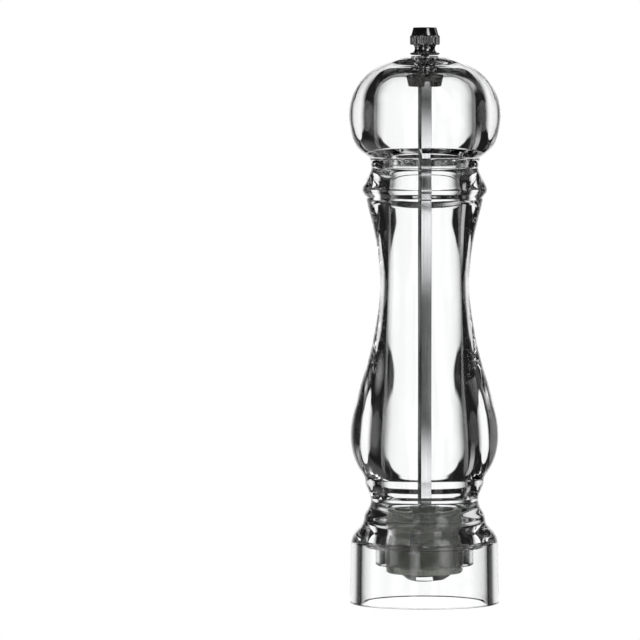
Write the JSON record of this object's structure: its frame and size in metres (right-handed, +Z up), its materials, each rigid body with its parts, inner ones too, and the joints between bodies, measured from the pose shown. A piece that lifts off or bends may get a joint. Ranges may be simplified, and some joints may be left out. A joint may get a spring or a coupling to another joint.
{
  "type": "pepper mill",
  "caption": "Clear turned pepper mill with a round head, knurled top nut, square spindle and conical burr mechanism above an open skirt.",
  "frame": {"origin": "centre of the base on the table", "axes": "+Z up along the mill's axis, -Y towards the viewer"},
  "size_m": [0.0658, 0.0658, 0.25],
  "materials": {
    "clear_acrylic": "polished, clear",
    "smoky_plastic": "moulded, smoky grey",
    "dark_plastic": "moulded, satin",
    "ceramic": "fired ceramic, matt",
    "steel": "drawn and brushed",
    "dark_chrome": "polished, knurled"
  },
  "bodies": {
    "mill_body": {"body_shell": "clear_acrylic", "mount_ring": "clear_acrylic", "mount_screw_1": "steel", "mount_screw_2": "steel", "mount_screw_3": "steel", "mech_housing": "smoky_plastic", "stator": "ceramic", "bridge": "smoky_plastic"},
    "drive": {"lower_bush": "smoky_plastic", "thrust_washer": "steel"},
    "spindle": {"spindle": "steel", "shaft_clip": "steel", "rotor": "ceramic", "rotor_hub": "smoky_plastic", "rotor_cap": "dark_plastic", "spring_seat": "steel", "spring": "steel"},
    "head": {"head_dome": "clear_acrylic", "drive_bush": "smoky_plastic", "nut_washer": "steel"},
    "nut": {"adjusting_nut": "dark_chrome"}
  },
  "joints": [
    {"name": "grind_turn", "type": "hinge", "parent": "mill_body", "child": "drive", "pos_m": [0, 0, 0.038], "axis": [0, 0, 1], "continuous": true},
    {"name": "grind_adjust", "type": "slide", "parent": "drive", "child": "spindle", "axis": [0, 0, 1], "range_m": [-0.0006, 0.0009], "deforming": ["spring"]},
    {"name": "head_lift", "type": "slide", "parent": "drive", "child": "head", "axis": [0, 0, 1], "range_m": [0, 0.07]},
    {"name": "nut_turn", "type": "hinge", "parent": "head", "child": "nut", "pos_m": [0, 0, 0.2405], "axis": [0, 0, 1], "range_deg": [-465, 310]}
  ],
  "couplings": [
    {"joint": "nut_turn", "follows": "grind_adjust", "rad_per_m": -8976}
  ]
}
